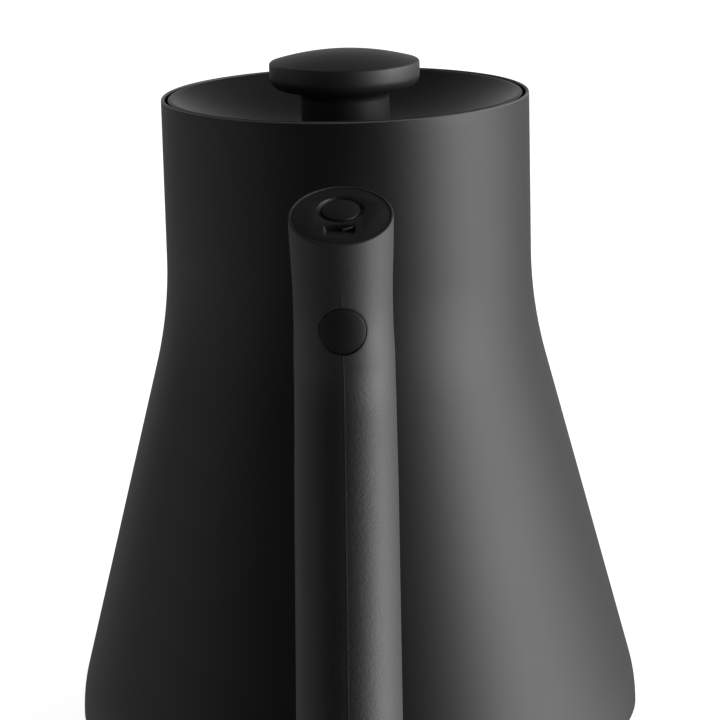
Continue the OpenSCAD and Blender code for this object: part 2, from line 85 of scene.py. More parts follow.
# ------------------------------------------------------------------ node helpers
class Mat:
    """A material with a Principled shader and short calls for the nodes round it."""

    def __init__(self, name, color, rough, metal=0.0, spec=0.5):
        self.m = bpy.data.materials.new(name)
        self.m.use_nodes = True
        self.t = self.m.node_tree
        self.t.nodes.clear()
        self.out = self.t.nodes.new("ShaderNodeOutputMaterial")
        self.p = self.t.nodes.new("ShaderNodeBsdfPrincipled")
        self.t.links.new(self.p.outputs[0], self.out.inputs["Surface"])
        self.p.inputs["Base Color"].default_value = (*color, 1)
        self.p.inputs["Roughness"].default_value = rough
        self.p.inputs["Metallic"].default_value = metal
        self.p.inputs["Specular IOR Level"].default_value = spec
        self.coord = self.t.nodes.new("ShaderNodeTexCoord")
        self.normal = None

    def node(self, kind, **inputs):
        n = self.t.nodes.new(kind)
        for k, v in inputs.items():
            n.inputs[k.replace("_", " ")].default_value = v
        return n

    def link(self, a, b):
        self.t.links.new(a, b)

    def mapped(self, scale=(1, 1, 1), rotation=(0, 0, 0)):
        n = self.t.nodes.new("ShaderNodeMapping")
        n.inputs["Scale"].default_value = scale
        n.inputs["Rotation"].default_value = rotation
        self.link(self.coord.outputs["Object"], n.inputs["Vector"])
        return n.outputs[0]

    def noise(self, scale, detail=2.0, rough=0.5, vector=None, distortion=0.0):
        n = self.node("ShaderNodeTexNoise", Scale=scale, Detail=detail, Roughness=rough, Distortion=distortion)
        self.link(vector if vector is not None else self.coord.outputs["Object"], n.inputs["Vector"])
        return n.outputs["Fac"]

    def voronoi(self, scale, vector=None, feature="F1", smooth=None):
        n = self.t.nodes.new("ShaderNodeTexVoronoi")
        n.feature = feature
        n.inputs["Scale"].default_value = scale
        if smooth is not None:
            n.inputs["Smoothness"].default_value = smooth
        self.link(vector if vector is not None else self.coord.outputs["Object"], n.inputs["Vector"])
        return n.outputs["Distance"]

    def remap(self, value, a, b, lo, hi, smooth=False):
        n = self.t.nodes.new("ShaderNodeMapRange")
        if smooth:
            n.interpolation_type = "SMOOTHSTEP"
        for k, v in (("From Min", a), ("From Max", b), ("To Min", lo), ("To Max", hi)):
            n.inputs[k].default_value = v
        self.link(value, n.inputs["Value"])
        return n.outputs["Result"]

    def math(self, op, a, b=None):
        n = self.t.nodes.new("ShaderNodeMath")
        n.operation = op
        for i, v in enumerate((a, b)):
            if v is None:
                continue
            if isinstance(v, (int, float)):
                n.inputs[i].default_value = v
            else:
                self.link(v, n.inputs[i])
        return n.outputs[0]

    def mix(self, fac, a, b):
        n = self.t.nodes.new("ShaderNodeMix")
        n.data_type = "RGBA"
        for s, v in ((n.inputs[6], a), (n.inputs[7], b)):
            if isinstance(v, tuple):
                s.default_value = (*v, 1)
            else:
                self.link(v, s)
        if isinstance(fac, (int, float)):
            n.inputs[0].default_value = fac
        else:
            self.link(fac, n.inputs[0])
        return n.outputs[2]

    def bump(self, height, distance, strength=1.0):
        n = self.t.nodes.new("ShaderNodeBump")
        n.inputs["Distance"].default_value = distance
        n.inputs["Strength"].default_value = strength
        self.link(height, n.inputs["Height"])
        if self.normal is not None:
            self.link(self.normal, n.inputs["Normal"])
        self.normal = n.outputs[0]
        self.link(self.normal, self.p.inputs["Normal"])

    def color(self, out):
        self.link(out, self.p.inputs["Base Color"])

    def rough(self, out):
        self.link(out, self.p.inputs["Roughness"])


# ------------------------------------------------------------------ materials
def coat_material():
    """Matte powder coat: a very fine orange-peel grain, even and dark."""
    m = Mat("powder_coat", (0.006, 0.006, 0.0063), 0.42)
    grain = m.noise(2600, 3.0, 0.55)
    peel = m.noise(900, 2.0, 0.5)
    m.bump(grain, 0.00003, 0.35)
    m.bump(peel, 0.00006, 0.16)
    cloud = m.noise(14, 3.0, 0.55)
    speck = m.remap(grain, 0.35, 0.7, 0.0, 1.0)
    base = m.mix(speck, (0.0045, 0.0045, 0.0048), (0.0075, 0.0075, 0.0079))
    # painted highlight: the colour turns much lighter along the rim's rounded top edge, standing in for the light the
    # bead catches
    sep = m.t.nodes.new("ShaderNodeSeparateXYZ")
    m.link(m.coord.outputs["Object"], sep.inputs[0])
    edge = m.remap(sep.outputs["Z"], 0.16662, 0.16688, 0.0, 1.0, smooth=True)
    # the light grey mixed in by the height mask is the painted highlight on the rim
    m.color(m.mix(edge, m.mix(m.remap(cloud, 0.35, 0.65, 0.0, 0.25), base, (0.0085, 0.0085, 0.0089)), (0.12, 0.12, 0.122)))
    m.rough(m.math("ADD", m.remap(cloud, 0.3, 0.7, 0.405, 0.435), m.remap(grain, 0.3, 0.7, -0.02, 0.02)))
    return m.m


def lid_material():
    """The same coat, a little smoother where the lid's top was pressed."""
    m = Mat("lid_coat", (0.005, 0.005, 0.0053), 0.5)
    grain = m.noise(2600, 3.0, 0.55)
    m.bump(grain, 0.00003, 0.3)
    cloud = m.noise(20, 3.0, 0.55)
    speck = m.remap(grain, 0.35, 0.7, 0.0, 1.0)
    m.color(m.mix(speck, (0.0040, 0.0040, 0.0043), (0.0065, 0.0065, 0.0069)))
    m.rough(m.remap(cloud, 0.3, 0.7, 0.36, 0.39))
    return m.m


def grip_material():
    """Moulded plastic with a spark-eroded grain, coarser down the lower grip."""
    m = Mat("grip_plastic", (0.016, 0.016, 0.0165), 0.5, spec=0.75)
    sep = m.t.nodes.new("ShaderNodeSeparateXYZ")
    m.link(m.coord.outputs["Object"], sep.inputs[0])
    low = m.remap(sep.outputs["Z"], 0.128, 0.098, 0.0, 1.0, smooth=True)
    fine = m.noise(2300, 3.0, 0.6)
    pits = m.voronoi(1500, feature="SMOOTH_F1", smooth=0.6)
    coarse = m.noise(1250, 4.0, 0.62, distortion=0.3)
    height = m.math("ADD", m.math("MULTIPLY", fine, 0.55), m.math("MULTIPLY", pits, 0.45))
    m.bump(height, 0.00005, 0.55)
    m.bump(m.math("MULTIPLY", coarse, low), 0.00012, 0.55)
    speck = m.remap(m.math("ADD", m.math("MULTIPLY", fine, 0.5), m.math("MULTIPLY", coarse, 0.5)), 0.38, 0.66, 0.0, 1.0)
    m.color(m.mix(speck, (0.011, 0.011, 0.0114), (0.021, 0.021, 0.0216)))
    cloud = m.noise(30, 3.0, 0.55)
    satin = m.remap(sep.outputs["Z"], 0.122, 0.132, 0.0, 0.08, smooth=True)
    m.rough(m.math("ADD", m.math("ADD", m.remap(cloud, 0.3, 0.7, 0.48, 0.52), satin), m.remap(fine, 0.3, 0.7, -0.04, 0.04)))
    return m.m


def plastic(name, color, rough, grain=2200, depth=0.00003, strength=0.3, vary=0.25, spec=0.5):
    m = Mat(name, color, rough, spec=spec)
    fine = m.noise(grain, 3.0, 0.55)
    m.bump(fine, depth, strength)
    cloud = m.noise(26, 3.0, 0.55)
    lo = tuple(c * (1 - vary) for c in color)
    hi = tuple(c * (1 + vary) for c in color)
    m.color(m.mix(m.remap(fine, 0.32, 0.68, 0.0, 1.0), lo, hi))
    m.rough(m.remap(cloud, 0.3, 0.7, rough - 0.03, rough + 0.03))
    return m.m


def brushed(name, color, rough, around_z=True, length=(1.0, 1.0, 60.0), depth=0.000012):
    """Brushed or spun metal: fine lines drawn out along one direction."""
    m = Mat(name, color, rough, metal=1.0)
    if around_z:  # lines run round the axis: noise over height and radius only
        sep = m.t.nodes.new("ShaderNodeSeparateXYZ")
        m.link(m.coord.outputs["Object"], sep.inputs[0])
        r = m.math("SQRT", m.math("ADD", m.math("MULTIPLY", sep.outputs["X"], sep.outputs["X"]), m.math("MULTIPLY", sep.outputs["Y"], sep.outputs["Y"])))
        a = m.math("ARCTAN2", sep.outputs["Y"], sep.outputs["X"])
        comb = m.t.nodes.new("ShaderNodeCombineXYZ")
        m.link(m.math("MULTIPLY", r, 1.0), comb.inputs[0])
        m.link(m.math("MULTIPLY", sep.outputs["Z"], 1.0), comb.inputs[1])
        m.link(m.math("MULTIPLY", a, 0.0016), comb.inputs[2])
        lines = m.noise(3800, 3.0, 0.6, vector=comb.outputs[0])
    else:
        lines = m.noise(3800, 3.0, 0.6, vector=m.mapped(length))
    m.bump(lines, depth, 0.4)
    lo = tuple(c * 0.86 for c in color)
    m.color(m.mix(lines, lo, color))
    m.rough(m.remap(lines, 0.3, 0.7, rough - 0.05, rough + 0.07))
    return m.m


def cast_metal(name, color, rough):
    m = Mat(name, color, rough, metal=1.0)
    fine = m.noise(1800, 4.0, 0.6)
    m.bump(fine, 0.00003, 0.25)
    cloud = m.noise(60, 4.0, 0.6)
    m.color(m.mix(m.remap(cloud, 0.3, 0.7, 0.0, 1.0), tuple(c * 0.82 for c in color), color))
    m.rough(m.remap(cloud, 0.3, 0.7, rough - 0.06, rough + 0.06))
    return m.m


def rubber(name, color, rough, trans=0.0):
    m = Mat(name, color, rough)
    if trans:
        m.p.inputs["Subsurface Weight"].default_value = trans
        m.p.inputs["Subsurface Radius"].default_value = (0.002, 0.002, 0.002)
    fine = m.noise(1500, 3.0, 0.55)
    m.bump(fine, 0.00002, 0.25)
    cloud = m.noise(70, 3.0, 0.55)
    m.color(m.mix(m.remap(cloud, 0.3, 0.7, 0.0, 1.0), tuple(c * 0.85 for c in color), color))
    m.rough(m.remap(cloud, 0.3, 0.7, rough - 0.04, rough + 0.04))
    return m.m


M = {
    "coat": coat_material(),
    "lid": lid_material(),
    "grip": grip_material(),
    "cap": plastic("cap_plastic", (0.013, 0.013, 0.0134), 0.42, grain=2600, strength=0.22),
    "arm": plastic("arm_plastic", (0.015, 0.015, 0.0155), 0.5, grain=1700, depth=0.00005, strength=0.4),
    "knob": plastic("knob_plastic", (0.019, 0.019, 0.0196), 0.47, grain=2400, strength=0.25, spec=0.65),
    "plug": rubber("plug_rubber", (0.006, 0.006, 0.006), 0.5),
    "base": plastic("base_plastic", (0.016, 0.016, 0.0163), 0.52, grain=1500, depth=0.00005, strength=0.45),
    "steel": brushed("brushed_steel", (0.62, 0.62, 0.63), 0.27),
    "bolt": cast_metal("fastener_steel", (0.55, 0.55, 0.56), 0.32),
    "alu": cast_metal("spreader_aluminium", (0.74, 0.75, 0.76), 0.42),
    "brass": cast_metal("contact_brass", (0.78, 0.58, 0.26), 0.28),
    "ivory": plastic("coupler_plastic", (0.70, 0.67, 0.60), 0.45, grain=1500, vary=0.06),
    "bakelite": plastic("cutout_plastic", (0.03, 0.028, 0.026), 0.4),
    "seal": rubber("black_silicone", (0.018, 0.018, 0.018), 0.55),
    "clear": rubber("white_silicone", (0.80, 0.80, 0.78), 0.45, trans=0.3),
    "red": rubber("lead_red", (0.50, 0.03, 0.02), 0.42),
    "blue": rubber("lead_blue", (0.03, 0.09, 0.42), 0.42),
    "green": rubber("lead_green", (0.16, 0.42, 0.06), 0.42),
    "sleeve": rubber("lead_black", (0.02, 0.02, 0.02), 0.45),
}
SLOT_MAT = {
    "black_coat": "coat", "lid_coat": "lid", "grip_plastic": "grip", "cap_plastic": "cap", "arm_plastic": "arm",
    "knob_plastic": "knob", "plug_rubber": "plug", "base_plastic": "base", "brushed_steel": "steel",
    "fastener_steel": "bolt", "spreader_aluminium": "alu", "coupler_plastic": "ivory", "contact_brass": "brass",
    "cutout_plastic": "bakelite", "black_silicone": "seal", "white_silicone": "clear", "lead_red": "red",
    "lead_blue": "blue", "lead_green": "green", "lead_black": "sleeve",
}


# ------------------------------------------------------------------ mesh helpers
def finish_mesh(name, verts, faces, mats, body, replaces=(), angle=32.0, mat_of=None):
    """Makes the object from millimetre points, welds it, turns its faces outwards and gives it material, body and node."""
    me = bpy.data.meshes.new(name)
    me.from_pydata([(x * MM, y * MM, z * MM) for x, y, z in verts], [], faces)
    for m in mats:
        me.materials.append(M[m])
    if mat_of is not None:
        for p in me.polygons:
            p.material_index = mat_of(p.index)
    bm = bmesh.new()
    bm.from_mesh(me)
    bmesh.ops.remove_doubles(bm, verts=bm.verts, dist=2e-6)
    bmesh.ops.dissolve_degenerate(bm, edges=bm.edges, dist=1e-7)
    bmesh.ops.recalc_face_normals(bm, faces=bm.faces)
    bm.to_mesh(me)
    bm.free()
    me.update()
    o = bpy.data.objects.new(name, me)
    bpy.context.scene.collection.objects.link(o)
    shade(o, angle)
    if body:
        settle(o, body, replaces)
    return o


def settle(o, body, replaces=()):
    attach(o, body)
    if replaces:
        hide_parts(*replaces)


def shade(o, angle=32.0):
    me = o.data
    me.polygons.foreach_set("use_smooth", [True] * len(me.polygons))
    me.set_sharp_from_angle(angle=math.radians(angle))
    me.update()


def rounded(pts, closed=False, n=5):
    """A polyline of (x, y) or (x, y, radius) points with its corners rounded by arcs."""
    out, k = [], len(pts)
    for i, p in enumerate(pts):
        if len(p) < 3 or p[2] <= 0 or (not closed and i in (0, k - 1)):
            out.append((p[0], p[1]))
            continue
        a, b, c = (np.array(pts[j % k][:2], float) for j in (i - 1, i, i + 1))
        u, v = a - b, c - b
        lu, lv = np.linalg.norm(u), np.linalg.norm(v)
        u, v = u / lu, v / lv
        ang = math.acos(max(-1, min(1, float(u @ v))))
        if ang > pi - 1e-3:
            out.append((p[0], p[1]))
            continue
        d = min(p[2] / math.tan(ang / 2), 0.49 * lu, 0.49 * lv)
        r = d * math.tan(ang / 2)
        w = (u + v) / np.linalg.norm(u + v)
        cen = b + w * r / math.sin(ang / 2)
        s, e = b + u * d - cen, b + v * d - cen
        a0, a1 = math.atan2(s[1], s[0]), math.atan2(e[1], e[0])
        da = (a1 - a0 + pi) % (2 * pi) - pi
        for j in range(n + 1):
            t = a0 + da * j / n
            out.append((cen[0] + r * math.cos(t), cen[1] + r * math.sin(t)))
    return out


def lathe(prof, n=192, closed=False):
    """Verts and faces of a profile of (radius, height) points turned about Z. Points at radius 0 become one vertex."""
    verts, rows, faces = [], [], []
    for r, z in prof:
        if r < 1e-6:
            rows.append([len(verts)])
            verts.append((0.0, 0.0, z))
        else:
            rows.append(list(range(len(verts), len(verts) + n)))
            verts += [(r * math.cos(2 * pi * k / n), r * math.sin(2 * pi * k / n), z) for k in range(n)]
    pairs = [(i, i + 1) for i in range(len(rows) - 1)] + ([(len(rows) - 1, 0)] if closed else [])
    for i, j in pairs:
        a, b = rows[i], rows[j]
        if len(a) == 1 and len(b) == 1:
            continue
        for k in range(n):
            q = (k + 1) % n
            if len(a) == 1:
                faces.append((a[0], b[k], b[q]))
            elif len(b) == 1:
                faces.append((a[k], b[0], a[q]))
            else:
                faces.append((a[k], b[k], b[q], a[q]))
    return verts, faces


def moved(verts, m):
    return [tuple(m @ Vector(v)) for v in verts]


def cut(o, tools, angle=32.0):
    """Boolean difference of plain cutter meshes, given as (verts, faces) in millimetres, applied to the mesh."""
    made = []
    for i, (v, f) in enumerate(tools):
        t = finish_mesh("cutter_%d" % i, v, f, [], None)
        md = o.modifiers.new("cut", "BOOLEAN")
        md.operation, md.solver, md.object = "DIFFERENCE", "EXACT", t
        made.append(t)
    dg = bpy.context.evaluated_depsgraph_get()
    new = bpy.data.meshes.new_from_object(o.evaluated_get(dg))
    o.modifiers.clear()
    old = o.data
    o.data = new
    new.name = old.name
    bpy.data.meshes.remove(old)
    for t in made:
        me = t.data
        bpy.data.objects.remove(t)
        bpy.data.meshes.remove(me)
    shade(o, angle)


def dense(a, b, n):
    """n points from a (left out) to b (kept)."""
    return [(a[0] + (b[0] - a[0]) * i / n, a[1] + (b[1] - a[1]) * i / n) for i in range(1, n + 1)]


# ------------------------------------------------------------------ shared dimensions, as in the CAD
RIM, NECK, FLARE_Z, CONE, RHO, FOOT_Z, FOOT_RHO, WALL = 167.0, 47.0, 126.0, 14.57, 112.0, 16.0, 48.0, 0.9
R1 = NECK + RHO * (1 - cosd(CONE))
Z1 = FLARE_Z - RHO * sind(CONE)
R2 = R1 + (Z1 - FOOT_Z) * math.tan(math.radians(CONE))
CR, CZ = R2 - FOOT_RHO * cosd(CONE), FOOT_Z - FOOT_RHO * sind(CONE)
FOOT_R = CR + FOOT_RHO
GY, SCREW_Z = 77.5, 125.0


def wall_r(z):
    if z >= FLARE_Z:
        return NECK
    if z >= Z1:
        return NECK + RHO - math.sqrt(RHO * RHO - (FLARE_Z - z) ** 2)
    if z >= FOOT_Z:
        return R1 + (Z1 - z) * math.tan(math.radians(CONE))
    return CR + math.sqrt(FOOT_RHO ** 2 - (z - CZ) ** 2)


def wall_pts(w, n=1.0):
    """Wall from foot to the bottom of the neck, moved inwards by w."""
    a, b = int(12 * n), int(30 * n)
    foot = [(CR + (FOOT_RHO - w) * cosd(CONE * i / a), CZ + (FOOT_RHO - w) * sind(CONE * i / a)) for i in range(a + 1)]
    flare = [(NECK + RHO - (RHO + w) * cosd(CONE * (b - i) / b), FLARE_Z - (RHO + w) * sind(CONE * (b - i) / b)) for i in range(b + 1)]
    return foot + dense(foot[-1], flare[0], 16)[:-1] + flare


# ------------------------------------------------------------------ vessel
ROOT_Z, ROOT_R, H0 = 33.5, 8.2, 12.0
ROOT_Y = wall_r(ROOT_Z) - 4


def build_vessel():
    outer, inner = wall_pts(0), wall_pts(WALL)
    top = rounded([(outer[-1][0], 150), (NECK, RIM, 0.42), (NECK - WALL, RIM, 0.42), (NECK - WALL, 150)], n=6)[1:-1]
    neck_o = dense(outer[-1], (NECK, RIM - 0.42), 12)[:-1]
    neck_i = dense((NECK - WALL, RIM - 0.42), inner[-1], 12)[:-1]
    prof = outer + neck_o + top + neck_i + inner[::-1]
    n = 288
    verts, faces = lathe(prof, n, closed=True)
    rows_out = len(outer) + len(neck_o) + len(top) - 2
    bare = [k >= rows_out and k < len(prof) - 1 and prof[k][1] < 154.5 for k in range(len(prof))]  # the coat runs over the rim to just below the lid
    o = finish_mesh("vessel", verts, faces, ["coat", "steel"], None, mat_of=lambda i: int(bare[i // n]))
    # hole for the spout's root
    m = Matrix.Translation((0, ROOT_Y, ROOT_Z)) @ Matrix.Rotation(math.radians(H0 - 90), 4, "X")
    v, f = lathe([(0, -14), (ROOT_R + 0.05, -14), (ROOT_R + 0.05, 14), (0, 14)], 96)
    cut(o, [(moved(v, m), f)])
    settle(o, "kettle", ["body_shell"])
    return o


# ------------------------------------------------------------------ lid
PAN_R = NECK - WALL - 0.8
EDGE_Z, MID_Z, SEAT_Z = RIM - 0.1, RIM - 9.8, 153.6


def dish(r, o=0.0):
    return MID_Z - o + (0.0 if r < 13 else (EDGE_Z - MID_Z) * ((r - 13) / (PAN_R - 1.2 - 13)) ** 1.7)


def build_lid():
    top = [(2.2, MID_Z)] + [(r, dish(r)) for r in np.linspace(6, PAN_R - 1.2, 44)]
    edge = rounded([top[-1], (PAN_R - 0.75, EDGE_Z + 0.08, 0.8), (PAN_R, EDGE_Z - 0.15, 0.5), (PAN_R, SEAT_Z + 0.3, 0.2), (PAN_R - 1.2, SEAT_Z + 0.3, 0.2), (PAN_R - 1.2, dish(PAN_R - 2.6, 1.5), 0.6), (PAN_R - 2.8, dish(PAN_R - 2.8, 1.5))], n=6)[1:]
    under = [(r, dish(r, 1.5)) for r in np.linspace(PAN_R - 3.4, 38.6, 6)]
    ring = rounded([under[-1], (38.2, dish(38.2, 1.5), 0.2), (38.2, 150.3, 0.15), (37, 150.3, 0.15), (37, dish(37, 1.5), 0.2), (36.5, dish(36.5, 1.5))], n=3)[1:]
    inner = [(r, dish(r, 1.5)) for r in np.linspace(35.5, 8, 24)]
    boss = rounded([inner[-1], (6, dish(6, 1.5), 0.4), (6, 150.3, 0.2), (2.2, 150.3, 0.2), (2.2, MID_Z)], n=3)[1:-1]
    prof = top + edge + under + ring + inner + boss
    n = 240
    verts, faces = lathe(prof, n, closed=True)
    o = finish_mesh("lid_dish", verts, faces, ["lid"], None)
    holes = []
    for a in (72, 90, 108):
        v, f = lathe([(0, -6), (1.3, -6), (1.3, 8), (0, 8)], 40)
        holes.append((moved(v, Matrix.Translation((15.5 * cosd(a), 15.5 * sind(a), MID_Z))), f))
    cut(o, holes)
    settle(o, "lid", ["lid_pan"])

    k = 19.2
    dome = [(r, 178.1 - r * r / 128) for r in (18.2, 17.2, 16, 14.5, 13, 11.5, 10, 8.5, 7, 5.5, 4, 2.5, 1.2, 0)]
    prof = rounded([(0, MID_Z + 11), (3.05, MID_Z + 11, 0.3), (3.05, MID_Z + 0.05, 0.2), (11.3, MID_Z + 0.05, 0.25), (11.3, 168.35, 2.6),
                    (k, 168.65, 4.6), (k, 175.25, 0.75)] + dome, n=10)
    verts, faces = lathe(prof, 192)
    finish_mesh("knob", verts, faces, ["knob"], "lid", ["lid_knob"], angle=40)


# ------------------------------------------------------------------ grip
WAIST, THUMB, GRIP, BEND_R = 11.7, 12.3, 12.2, 11.95
B_RHO, B_Z, LEAN, END_Z, FACE_Z, THUMB_A = 32.5, SCREW_Z - 8.8, 30.0, 36.0, 150.2, 21.0
BY1 = GY + B_RHO * (1 - cosd(LEAN))
BZ1 = B_Z - B_RHO * sind(LEAN)
LOWER = (BZ1 - END_Z) / cosd(LEAN)
END_Y = -(BY1 + (BZ1 - END_Z) * math.tan(math.radians(LEAN)))


def smooth(t):
    t = max(0.0, min(1.0, t))
    return t * t * (3 - 2 * t)


def upper_r(z):
    """Grip radius over height on the upright length."""
    if z > 130:
        return WAIST + (THUMB - WAIST) * smooth((z - 130) / 20)
    return WAIST + (BEND_R - WAIST) * smooth((126 - z) / 10)


def ridge(x, z=100.0):
    """Mould parting line down the back: a hairline ridge that fades out above the screw."""
    a = abs(x)
    return 0.0 if a > 0.26 else 0.055 * (1 - a / 0.26) * smooth((134.8 - z) / 3)


def build_grip():
    half = [0.0, 0.5, 1.1, 1.9, 3.1, 4.8]
    # columns: fine near the back's centre line, even elsewhere; the windows reach +-55 degrees
    side = half + list(np.linspace(7.4, 55.0, 18))
    front = [180.0 - a for a in side[::-1]]
    mid = list(np.linspace(55.0, 125.0, 26))[1:-1]
    pos = side + mid + front            # 0 .. 180
    th = pos + [-a for a in pos[-2:0:-1]]  # and back to just below 0
    n = len(th)
    cols = [math.radians(a) for a in th]
    win = len(side) - 1                 # columns on each side of a window's centre
    verts, faces = [], []

    def add(p):
        verts.append(p)
        return len(verts) - 1

    def ring(fn):
        return [add(fn(t)) for t in cols]

    def band(a, b, skip=()):
        for i in range(n):
            if i in skip:
                continue
            j = (i + 1) % n
            faces.append((a[i], b[i], b[j], a[j]))

    def on_upper(t, z):
        x = upper_r(z) * math.sin(t)
        r = upper_r(z) + (ridge(x, z) if math.cos(t) > 0 else 0.0)
        return (r * math.sin(t), -GY - r * math.cos(t), z)

    slope = math.tan(math.radians(THUMB_A))

    def face_at(r, t, down=0.0):
        y = -r * math.cos(t)
        return FACE_Z + slope * y - down

    rows = []
    # thumb face: cap seat, land, rounded edge
    floor = ring(lambda t: (9 * math.sin(t), -GY - 9 * math.cos(t), 134))
    top_in = ring(lambda t: (9 * math.sin(t), -GY - 9 * math.cos(t), face_at(9, t, 2.57)))
    seat_o = ring(lambda t: (11.7 * math.sin(t), -GY - 11.7 * math.cos(t), face_at(11.7, t, 2.57)))
    seat_t = ring(lambda t: (11.7 * math.sin(t), -GY - 11.7 * math.cos(t), face_at(11.7, t, 0.08)))
    land_i = ring(lambda t: (11.78 * math.sin(t), -GY - 11.78 * math.cos(t), face_at(11.78, t)))
    faces.append(tuple(floor))
    rows = [floor, top_in, seat_o, seat_t, land_i]
    e = 0.3
    for j in range(6):
        a = pi / 2 * j / 5
        r = THUMB - e + e * math.sin(a)
        rows.append(ring(lambda t, r=r, a=a: (r * math.sin(t), -GY - r * math.cos(t), face_at(r, t, e * (1 - math.cos(a))))))
    # side of the upright length, down to the windows
    z_top, z_bot, m = SCREW_Z + 8.7, SCREW_Z - 8.7, 18
    for j in range(1, 15):
        s = j / 14

        def fn(t, s=s):
            z0 = face_at(THUMB, t, e)
            return on_upper(t, z0 + (z_top - z0) * s)
        rows.append(ring(fn))
    for a, b in zip(rows, rows[1:]):
        band(a, b)
    # window rows
    zs = [z_top + (z_bot - z_top) * j / m for j in range(m + 1)]
    grid = [rows[-1]] + [ring(lambda t, z=z: on_upper(t, z)) for z in zs[1:]]
    back_skip = {(-win + k) % n for k in range(2 * win)}
    centre = len(pos) - 1
    front_skip = {(centre - win + k) % n for k in range(2 * win)}
    for a, b in zip(grid, grid[1:]):
        band(a, b, back_skip | front_skip)

    def window(mid_col, sign, radii, depth_rows):
        """O-grid between the window's edge and a round hole on the surface, then rings that run in along Y."""
        cs = [(mid_col - win + k) % n for k in range(2 * win + 1)]
        loop = [grid[0][c] for c in cs] + [grid[j][cs[-1]] for j in range(1, m)] + [grid[m][c] for c in cs[::-1]] + [grid[j][cs[0]] for j in range(m - 1, 0, -1)]
        edge = [np.array([verts[i][0], verts[i][2] - SCREW_Z]) for i in loop]
        ang = [math.atan2(p[1], p[0]) for p in edge]
        rings, layers = [loop], 7
        r0 = radii + 0.12

        def surf(x, z):
            r = upper_r(z)
            y = math.sqrt(max(r * r - x * x, 0.0))
            return -GY - y - ridge(x, z) if sign < 0 else -GY + y

        for L in range(1, layers + 1):
            f = L / layers
            f = f * (1.25 - 0.25 * f)
            row = []
            for p, a in zip(edge, ang):
                q = p * (1 - f) + np.array([math.cos(a), math.sin(a)]) * r0 * f
                row.append(add((q[0], surf(q[0], q[1] + SCREW_Z), q[1] + SCREW_Z)))
            rings.append(row)
        for d, rr in ((0.02, radii + 0.06), (0.06, radii + 0.02), (0.14, radii)):
            row = []
            for a in ang:
                x, z = rr * math.cos(a), rr * math.sin(a) + SCREW_Z
                row.append(add((x, surf(x, z) - sign * d, z)))
            rings.append(row)
        for y, rr in depth_rows:
            rings.append([add((rr * math.cos(a), y, rr * math.sin(a) + SCREW_Z)) for a in ang])
        k = len(loop)
        for a, b in zip(rings, rings[1:]):
            for i in range(k):
                j = (i + 1) % k
                faces.append((a[i], b[i], b[j], a[j]))
        return rings[-1]

    back = window(0, -1, 5.6, [(-GY - 9.6, 5.6), (-GY - 9.6, 5.2), (-GY - 2, 5.2), (-GY - 2, 2.8), (-74, 2.8)])
    fore = window(centre, 1, 8.35, [(-70.1, 8.35), (-70.1, 2.8), (-74, 2.8)])
    # the loops meet half way along the screw hole, in the same order of angles
    k = len(back)
    pb = [math.atan2(verts[i][2] - SCREW_Z, verts[i][0]) for i in back]
    start = min(range(k), key=lambda j: abs(math.atan2(verts[fore[j]][2] - SCREW_Z, verts[fore[j]][0]) - pb[0]))
    step = 1 if abs(math.atan2(verts[fore[(start + 1) % k]][2] - SCREW_Z, verts[fore[(start + 1) % k]][0]) - pb[1]) < 0.2 else -1
    for i in range(k):
        j = (i + 1) % k
        a, b = fore[(start + step * i) % k], fore[(start + step * (i + 1)) % k]
        verts[a], verts[b] = verts[back[i]], verts[back[j]]
    # bend and lower length
    last = grid[m]
    def stations():
        out = []
        for j in range(1, 4):
            out.append((-GY, z_bot + (B_Z - z_bot) * j / 3, 0.0, None))
        return out
    lower_rows = [last]
    lower_rows.append(ring(lambda t: on_upper(t, B_Z)))
    for j in range(1, 13):
        a = LEAN * j / 12
        y, z = -(GY + B_RHO * (1 - cosd(a))), B_Z - B_RHO * sind(a)
        r = BEND_R + (GRIP - BEND_R) * smooth(j / 12) * 0.5

        def fn(t, y=y, z=z, a=a, r=r):
            q = r + (ridge(r * math.sin(t)) if math.cos(t) > 0 else 0.0)
            return (q * math.sin(t), y - q * math.cos(t) * cosd(a), z + q * math.cos(t) * sind(a))
        lower_rows.append(ring(fn))

    def low(t, s, r):
        """Point at distance s up the axis from the foot, radius r."""
        y, z = END_Y + s * sind(LEAN), END_Z + s * cosd(LEAN)
        return (r * math.sin(t), y - r * math.cos(t) * cosd(LEAN), z + r * math.cos(t) * sind(LEAN))

    for j in range(1, 25):
        s = LOWER * (1 - j / 24) + 0.6 * j / 24
        r = BEND_R + (GRIP - BEND_R) * (0.5 + 0.5 * smooth((LOWER - s) / 14))
        lower_rows.append(ring(lambda t, s=s, r=r: low(t, s, r + (ridge(r * math.sin(t)) if math.cos(t) > 0 else 0.0))))
    for j in range(1, 6):
        a = pi / 2 * j / 5
        lower_rows.append(ring(lambda t, a=a: low(t, 0.6 - 0.6 * math.sin(a), GRIP - 0.6 + 0.6 * math.cos(a))))
    for s, r in ((0.0, 9.9), (0.1, 9.8), (1.8, 9.8), (1.8, 8.0), (62, 8.0)):
        lower_rows.append(ring(lambda t, s=s, r=r: low(t, s, r)))
    for a, b in zip(lower_rows, lower_rows[1:]):
        band(a, b)
    faces.append(tuple(lower_rows[-1]))
    finish_mesh("grip", verts, faces, ["grip"], "kettle", ["grip_shell"], angle=38)


def thumb_matrix():
    return Matrix.Translation((0, -GY, FACE_Z)) @ Matrix.Rotation(math.radians(THUMB_A), 4, "X")


